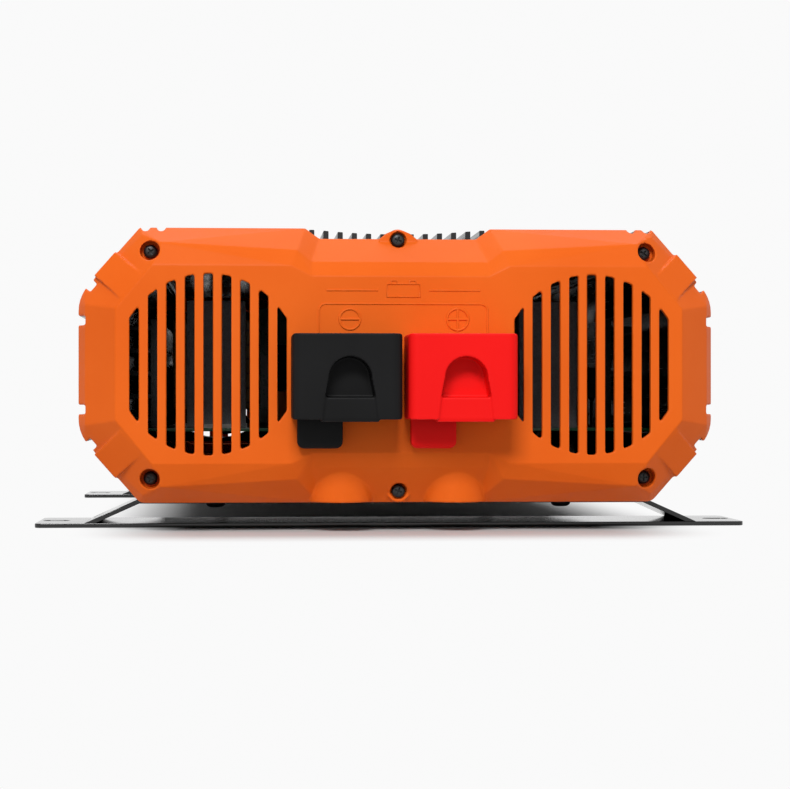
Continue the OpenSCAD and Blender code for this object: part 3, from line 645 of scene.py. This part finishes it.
# %% [markdown]
# ## Marks on the battery end
# Raised marks are moulded into the face above the covers: a thin frame, a minus and a plus
# in rings, and a battery symbol between two rules. Each line starts as a circle, whose
# corners are moved to the line's own. It becomes a curve with a little thickness and is made
# a mesh again, half sunk in the face.

# %% Marks on the battery end
def outline(name, corners, line, closed=True):
    """A raised line through corners, given as (x, up) on the battery end's face."""
    if len(corners) == 2:  # a ring has three corners at least, so a straight line gets one more
        (x0, up0), (x1, up1) = corners
        corners = [corners[0], ((x0 + x1) / 2, (up0 + up1) / 2), corners[1]]
    bpy.ops.object.select_all(action="DESELECT")
    bpy.ops.mesh.primitive_circle_add(vertices=len(corners), radius=0.01)
    piece = bpy.context.object
    piece.name = name
    for vertex, (x, up) in zip(piece.data.vertices, corners):
        vertex.co = at_front(x, up, 0)
    if not closed:
        bpy.ops.object.mode_set(mode="EDIT")
        shape = bmesh.from_edit_mesh(piece.data)
        shape.verts.ensure_lookup_table()
        last = [e for e in shape.verts[0].link_edges if shape.verts[-1] in e.verts]
        bmesh.ops.delete(shape, geom=last, context="EDGES_FACES")
        bmesh.update_edit_mesh(piece.data)
        bpy.ops.object.mode_set(mode="OBJECT")
    bpy.ops.object.convert(target="CURVE")
    piece.data.bevel_depth = line * MM
    piece.data.bevel_resolution = 2
    piece.data.use_fill_caps = not closed
    bpy.ops.object.convert(target="MESH")
    return bpy.context.object


def ring(x, up, radius, count=32):
    """Corners of a circle."""
    return [(x + radius * math.cos(2 * math.pi * i / count),
             up + radius * math.sin(2 * math.pi * i / count)) for i in range(count)]


def frame_corner(x, up, radius, start):
    """Corners of a quarter circle that begins at start degrees."""
    return [(x + radius * math.cos(math.radians(start + a)),
             up + radius * math.sin(math.radians(start + a))) for a in range(0, 91, 15)]


FRAME_X = (-35.2, 37.2)
FRAME_TOP = 26.0
MARK_UP = 19.4
MINUS_X, PLUS_X = -22.0, 24.3
thin, bold = 0.42, 0.55  # half the width of a line
frame_line = ([(FRAME_X[0], 8)] + frame_corner(FRAME_X[0] + 3, FRAME_TOP - 3, 3, 90)[::-1]
              + frame_corner(FRAME_X[1] - 3, FRAME_TOP - 3, 3, 0)[::-1] + [(FRAME_X[1], 8)])
marks = [outline("frame", frame_line, thin, closed=False),
         outline("minus_ring", ring(MINUS_X, MARK_UP, 4.4), bold),
         outline("plus_ring", ring(PLUS_X, MARK_UP, 4.6), bold),
         outline("minus", [(MINUS_X - 4.2, MARK_UP), (MINUS_X + 4.2, MARK_UP)], bold, closed=False),
         outline("plus_flat", [(PLUS_X - 4.4, MARK_UP), (PLUS_X + 4.4, MARK_UP)], bold, closed=False),
         outline("plus_tall", [(PLUS_X, MARK_UP - 5.2), (PLUS_X, MARK_UP + 5.2)], bold, closed=False)]
MARK_X = 1.0
CASE_HALF, CASE_LOW, CASE_TOP = 7, 29, 34.5
POST_X, POST_HALF, POST_TOP = 4, 1.3, 36
RULE_X, RULE_UP = (11, 33), 31.8
case = [(MARK_X - CASE_HALF, CASE_LOW), (MARK_X + CASE_HALF, CASE_LOW),
        (MARK_X + CASE_HALF, CASE_TOP), (MARK_X - CASE_HALF, CASE_TOP)]
marks.append(outline("battery_case", case, thin))
for middle in (MARK_X - POST_X, MARK_X + POST_X):
    post = [(middle - POST_HALF, CASE_TOP), (middle - POST_HALF, POST_TOP),
            (middle + POST_HALF, POST_TOP), (middle + POST_HALF, CASE_TOP)]
    marks.append(outline("battery_post", post, thin, closed=False))
for side in (-1, 1):
    rule = [(MARK_X + side * x, RULE_UP) for x in RULE_X]
    marks.append(outline("rule", rule, thin, closed=False))
rides(smooth(joined("polarity_marks", marks), 60), orange, "housing")

# %% [markdown]
# ## Screws
# Every cap screw has a pan head with a cross recess, at the bottom of its hole. The holes of
# the corners, bottom and top differ in depth, so one screw is made for each: its head is
# turned, the cross is cut out of it and a threaded shank is joined on. The corners' screw
# is copied. The saddles' screws are button heads with a six-sided socket.

# %% Cap screws
seat = {"corner": 15, "bottom": 17, "top": 19.4}  # below the cap's face
SCREW_END = 41.8
HEAD_H = 2.6


def cap_screw(seat_depth):
    """A pan head screw along Z, whose head's seat is seat_depth below the cap's face."""
    crown = seat_depth - HEAD_H
    head = turned("screw", [(crown, 1.1), (crown + 0.12, 2.1), (crown + 0.5, 2.75),
                            (crown + 1.1, 2.97), (crown + 2.4, 2.97), (seat_depth, 2.9)], 32)
    for turn in (0, 90):
        tool = block("cross", (3.3 * MM, 0.72 * MM, 3 * MM), (0, 0, (crown + 0.1) * MM), 0.05)
        cut(head, put(tool, (0, 0, 0), spin=turn))
    shank = turned("shank", [(seat_depth - 0.05, 1.95), *thread(seat_depth + 0.5, SCREW_END - 0.6,
                   1.97, 1.4, 0.32), (SCREW_END, 1.2)], 14)
    return smooth(joined("screw", [head, shank]), 40)


def all_cap_screws(where, name):
    """The six screws of one end."""
    made = []
    corners = [(x * CAP_CORNER[0], up * CAP_CORNER[1]) for x in (-1, 1) for up in (-1, 1)]
    for kind, places in (("corner", corners), ("bottom", [(0, -CAP_MIDDLE)]),
                         ("top", [(0, CAP_MIDDLE)])):
        twins = copies(cap_screw(seat[kind]), len(places))
        for number, (twin, (x, up)) in enumerate(zip(twins, places)):
            made.append(put(twin, where(x, up, 0), INWARD[where], spin=20 + 35 * number))
    return joined(name, made)


for end, where in (("front", at_front), ("rear", at_rear)):
    stands_for(all_cap_screws(where, f"{end}_cap_screw_set"), black_screw, f"{end}_cap_screws")

# %% Saddle screws
low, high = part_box("saddle_screws")
HEAD_TOP = low.z / MM
SHANK_END = high.z / MM
HEAD_R = 4.6
button = turned("button", [(HEAD_TOP, 2.6), (HEAD_TOP + 0.35, 3.6), (HEAD_TOP + 1.0, 4.3),
                           (HEAD_TOP + 1.9, HEAD_R), (HEAD_TOP + 2.8, HEAD_R)], 36)
socket = turned("socket", [(HEAD_TOP - 1, 2.0), (HEAD_TOP + 1.7, 2.0)], 6)
cut(button, socket)
shank = turned("shank", [(HEAD_TOP + 2.75, 2.45), *thread(HEAD_TOP + 3.2, SHANK_END - 0.4,
               2.48, 0.8, 0.35), (SHANK_END, 1.8)], 20)
first = smooth(joined("saddle_screw", [button, shank]), 40)
span = ((high.x - low.x) / 2 - HEAD_R * MM, (high.y - low.y) / 2 - HEAD_R * MM)
places = [(x * span[0], y * span[1], 0) for x in (-1, 1) for y in (-1, 1)]
twins = copies(first, len(places))
for number, (twin, spot) in enumerate(zip(twins, places)):
    put(twin, spot, spin=17 * number)
stands_for(joined("saddle_screw_set", twins), black_screw, "saddle_screws")

# %% [markdown]
# ## Brackets
# Each bracket is two pieces of steel strip: a flat foot bar and a bent saddle. Sheared and
# bent strip has a small radius on its edges.

# %% Brackets
for end in ("front", "rear"):
    for part in ("foot_bar", "saddle"):
        stands_for(soften(copy_of(f"{end}_{part}"), 0.35), black_steel, f"{end}_{part}")

# %% [markdown]
# ## Terminal covers and bases
# The covers are hollow boxes with an arched finger recess. They are handled often, so
# their edges are rounder than the caps'. The bases have a thick tongue with a round end.

# %% Terminal covers and bases
for side, finish in (("negative", black_plastic), ("positive", red_plastic)):
    stands_for(mould(copy_of(f"{side}_terminal_cover"), 0.45, 3), finish, f"{side}_terminal_cover")
    stands_for(mould(copy_of(f"{side}_terminal_base"), 0.4, 5), finish, f"{side}_terminal_base")

# %% [markdown]
# ## Battery studs, washers and nuts
# The covers pull off, so what is under them is made properly: brass studs with a rolled
# thread, flat washers with rounded rims and chamfered nuts.

# %% Battery studs, washers and nuts
def pair(made):
    """Puts a piece made along Z at both battery terminals."""
    twins = copies(made, 2)
    for twin, (x, up) in zip(twins, TERMINALS):
        put(twin, at_front(x, up, 0), INWARD[at_front], spin=11)
    return twins


stud = turned("stud", [(-11.4, 3.2), *thread(-10.9, 3.0, 3.98, 1.25, 0.55), (15.4, 3.4)], 32)
head = turned("stud_head", [(3.0, 7.0), (3.4, 7.45), (6.6, 7.45), (7.0, 7.0)], 6)
stands_for(smooth(joined("battery_studs", pair(stud) + pair(head)), 30), brass, "terminal_studs")
washer = turned("washer", [(-4.8, 7.7), (-4.65, 8.0), (-3.75, 8.0), (-3.6, 7.7)], 40)
cut(washer, turned("hole", [(-6, 4.2), (-2, 4.2)], 32))
stands_for(smooth(joined("battery_washers", pair(washer)), 30), zinc_steel, "terminal_washers")
nut = turned("nut", [(-9.8, 6.3), (-9.2, 7.5), (-5.4, 7.5), (-4.8, 6.9)], 6)
cut(nut, turned("hole", [(-11, 4.02), (-4, 4.02)], 32))
stands_for(smooth(soften(joined("battery_nuts", pair(nut)), 0.25), 30), zinc_steel, "terminal_nuts")

# %% [markdown]
# ## Fans
# Each fan's rotor has seven blades that twist from hub to tip and lean into their turn. One
# blade is a grid bent to that shape, thickened and rounded, then copied round the hub. A
# round label covers the hub's middle.

# %% Fans
HUB_R, TIP_R, BLADES = 17.0, 36.4, 7
ROOT_IN = 0.6  # how deep a blade's root sits in the hub
ROOT_PITCH, TWIST = 46, 18  # degrees at the root, and how much less at the tip
HALF_CHORD, BOW, SWEEP = 11.0, 1.6, 5
BLADE_MIDDLE = 11.4


def blade():
    """One twisted blade along X."""
    bpy.ops.object.select_all(action="DESELECT")
    bpy.ops.mesh.primitive_grid_add(x_subdivisions=8, y_subdivisions=8, size=2)
    piece = bpy.context.object
    for vertex in piece.data.vertices:
        out, along = (vertex.co.x + 1) / 2, vertex.co.y
        radius = HUB_R - ROOT_IN + out * (TIP_R - HUB_R + ROOT_IN)
        pitch = math.radians(ROOT_PITCH - TWIST * out)
        chord = HALF_CHORD + out - 1.5 * max(0, out - 0.8) * abs(along)  # tip corners cut back
        bow = BOW * (1 - along * along)
        side = along * chord * math.cos(pitch) + bow * math.sin(pitch) + SWEEP * out * out
        rise = along * chord * math.sin(pitch) - bow * math.cos(pitch)
        angle = side / radius
        vertex.co = (radius * math.cos(angle) * MM, radius * math.sin(angle) * MM,
                     (BLADE_MIDDLE + rise * 0.98) * MM)
    apply(piece, "SOLIDIFY", thickness=1.3 * MM, offset=0)
    return apply(piece, "SUBSURF", levels=1, render_levels=1)


def rotor(name):
    """Hub, axle and seven blades, along Z."""
    hub = turned("hub", [(2.0, 15.2), (2.35, 16.4), (3.2, HUB_R), (21.0, HUB_R), (21.0, 15.4),
                         (4.2, 15.4), (4.0, 1.5), (21.2, 1.5), (21.4, 1.2)], 56)
    twins = copies(blade(), BLADES)
    for number, twin in enumerate(twins):
        put(twin, (0, 0, 0), spin=number * 360 / BLADES)
    return smooth(joined(name, [hub] + twins), 40)


for side, x in (("left", GRILLE_X), ("right", -GRILLE_X)):
    spot = at_rear(x, 0, FAN_DEPTH)
    stands_for(put(rotor(f"{side}_fan_blades"), spot, INWARD[at_rear]), fan_plastic,
               f"{side}_fan_rotor")
    stands_for(mould(copy_of(f"{side}_fan_frame"), 0.7, 2), fan_plastic, f"{side}_fan_frame")
    label = turned("label", [(1.75, 10.6), (1.9, 10.9), (2.05, 10.9)], 48)
    dent = turned("dent", [(1.0, 2.2), (1.95, 2.2)], 32)
    label = put(smooth(cut(label, dent), 30), spot, INWARD[at_rear])
    label.name = f"{side}_fan_label"
    rides(label, grey_plastic, f"{side}_fan")


def fan_screw():
    """A slotted screw along Z, its depths counted from the cap's face."""
    head = turned("head", [(42.0, 3.3), (43.2, 3.4), (44.0, 3.0), (44.4, 2.0)], 28)
    cut(head, block("slot", (5 * MM, 0.8 * MM, 1.6 * MM), (0, 0, 44.3 * MM), 0.05))
    shank = turned("shank", [(15.3, 1.2), *thread(15.9, 41.6, 1.88, 1.6, 0.35), (42.1, 1.8)], 12)
    return joined("fan_screw", [head, shank])


screws = []
for x in (-GRILLE_X, GRILLE_X):
    for dx in (-FAN_BOLT, FAN_BOLT):
        for up in (-FAN_BOLT, FAN_BOLT):
            screws.append(put(fan_screw(), at_rear(x + dx, up, 0), INWARD[at_rear], spin=dx + up))
stands_for(smooth(joined("fan_screw_set", screws), 40), zinc_steel, "fan_screws")

# %% [markdown]
# ## Outlet end
# The outlets, switch, breaker, display and USB port keep their working shapes with moulded
# edges. New here are the breaker's turned collar and button, the threaded ground stud with
# its nut, and the white tongue in the USB port.

# %% Outlet end
for node_name, finish, cell in (
        ("ac_outlets", black_plastic, 0.5), ("outlet_contacts", brass, 0.25),
        ("switch_frame", black_plastic, 0.3), ("switch_rocker", rocker_plastic, 0.2),
        ("display_bezel", black_plastic, 0.3), ("display_lens", display_glass, 0.25),
        ("display_button", grey_plastic, 0.25), ("usb_port", nickel, 0.25)):
    stands_for(mould(copy_of(node_name), cell, 2), finish, node_name)
collar = turned("breaker_collar", [(19.9, 5.5), (0, 5.5), (0, 7.7), (-0.4, 8.0), (-1.5, 8.0),
                                   (-2.2, 7.2), (-2.2, 4.0), (10.5, 4.0)], 48)
stands_for(put(smooth(collar, 30), at_rear(*BREAKER), INWARD[at_rear]), black_plastic,
           "breaker_body")
button = turned("reset_button", [(4.8, 3.7), (-4.6, 3.7), (-5.0, 3.45), (-5.2, 3.0), (-5.2, 2.5),
                                 (-4.95, 2.2)], 40)
stands_for(put(smooth(button, 30), at_rear(*BREAKER), INWARD[at_rear]), white_plastic,
           "breaker_button")
earth = turned("earth_stud", [(-17.2, 2.2), *thread(-16.8, 3.0, 2.98, 1.0, 0.45), (12.8, 2.5)], 28)
earth_head = turned("earth_head", [(3.0, 5.4), (3.3, 5.75), (6.2, 5.75), (6.5, 5.4)], 6)
for piece in (earth, earth_head):
    put(piece, at_rear(*EARTH), INWARD[at_rear])
stands_for(smooth(joined("earth_stud", [earth, earth_head]), 30), brass, "ground_stud")
earth_nut = turned("earth_nut", [(-5.2, 4.9), (-4.7, 5.8), (-0.5, 5.8), (0, 5.3)], 6)
cut(earth_nut, turned("hole", [(-7, 3.02), (1, 3.02)], 28))
stands_for(put(soften(earth_nut, 0.2), at_rear(*EARTH), INWARD[at_rear]), zinc_steel,
           "ground_nut")
tongue = block("usb_tongue", (11.3 * MM, 10.2 * MM, 2.3 * MM), at_rear(*USB_TONGUE), 0.25)
rides(smooth(tongue, 30), white_plastic, "housing")

# %% [markdown]
# ## Inside
# The capacitors are turned cans with a crimp near the base and a pressed vent on top. The
# choke is a ferrite ring wound with thick enamelled wire, one turn copied round the ring. The
# cores, coils, transistors and fuses keep their working shapes with moulded edges, and a
# flat white connector sits on the board in front of the left core.

# %% Capacitors and choke
board_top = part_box("main_board")[1].z


def can(radius, height):
    """A capacitor along Z, standing on the board."""
    body = turned("can", [(0, radius - 0.7), (0.3, radius), (2.0, radius), (2.6, radius - 0.45),
                          (3.2, radius), (height - 0.7, radius), (height, radius - 0.8),
                          (height, radius - 1.6), (height - 0.4, radius - 1.9)], 40)
    for turn in (45, 135):
        score = block("score", (radius * 1.1 * MM, 0.5 * MM, 0.6 * MM),
                      (0, 0, (height - 0.4) * MM), 0.05)
        cut(body, put(score, (0, 0, 0), spin=turn))
    return smooth(body, 35)


small_places = [(i * 19, -8 + k * 19) for i in (-1, 0, 1) for k in (0, 1)]
tall_places = [(-34, 74), (34, 74)]
for name, node_name, radius, height, places in (
        ("small_cans", "input_capacitors", 8, 30, small_places),
        ("tall_cans", "bus_capacitors", 15, 45, tall_places)):
    twins = copies(can(radius, height), len(places))
    for number, (twin, (x, y)) in enumerate(zip(twins, places)):
        put(twin, (x * MM, y * MM, board_top), spin=23 * number)
    stands_for(joined(name, twins), capacitor_sleeve, node_name)

bpy.ops.object.select_all(action="DESELECT")
bpy.ops.mesh.primitive_torus_add(major_radius=13 * MM, minor_radius=5.0 * MM, major_segments=48,
                                 minor_segments=16)
core = bpy.context.object
TURNS = 34
WOUND = 330  # degrees of the ring that carry wire
bpy.ops.mesh.primitive_torus_add(major_radius=5.75 * MM, minor_radius=0.62 * MM, major_segments=18,
                                 minor_segments=8, location=(13 * MM, 0, 0),
                                 rotation=(math.radians(90), 0, 0))
turn = bpy.context.object
bpy.ops.object.transform_apply(location=True, rotation=True, scale=True)
twins = copies(turn, TURNS)
for number, twin in enumerate(twins):
    put(twin, (0, 0, 0), spin=number * WOUND / TURNS)
low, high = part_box("output_choke")
middle = (low + high) / 2
wire = put(joined("choke_winding", twins), middle, (0, 1, 0))
stands_for(smooth(wire, 60), copper, "output_choke")
rides(put(smooth(core, 60), middle, (0, 1, 0)), ferrite, "housing").name = "choke_core"

# %% Board parts
for node_name, finish, cell in (
        ("transformer_cores", ferrite, 0.8), ("transformer_coils", winding_tape, 0.8),
        ("power_transistors", component_black, 0.5), ("blade_fuses", fuse_plastic, 0.6),
        ("dc_busbars", copper, 0.6)):
    stands_for(mould(copy_of(node_name), cell, 2), finish, node_name)
for node_name, finish in (("main_board", circuit_board), ("control_board", circuit_board),
                          ("heat_sinks", black_aluminium)):
    stands_for(soften(copy_of(node_name), 0.2), finish, node_name)
CONNECTOR = (13.7, 2.2, 1.9)  # its sides, in millimetres
connector = block("board_connector", [side * MM for side in CONNECTOR],
                  (-79.4 * MM, -103.7 * MM, board_top + CONNECTOR[2] / 2 * MM), 0.2)
rides(smooth(connector, 30), white_plastic, "housing")
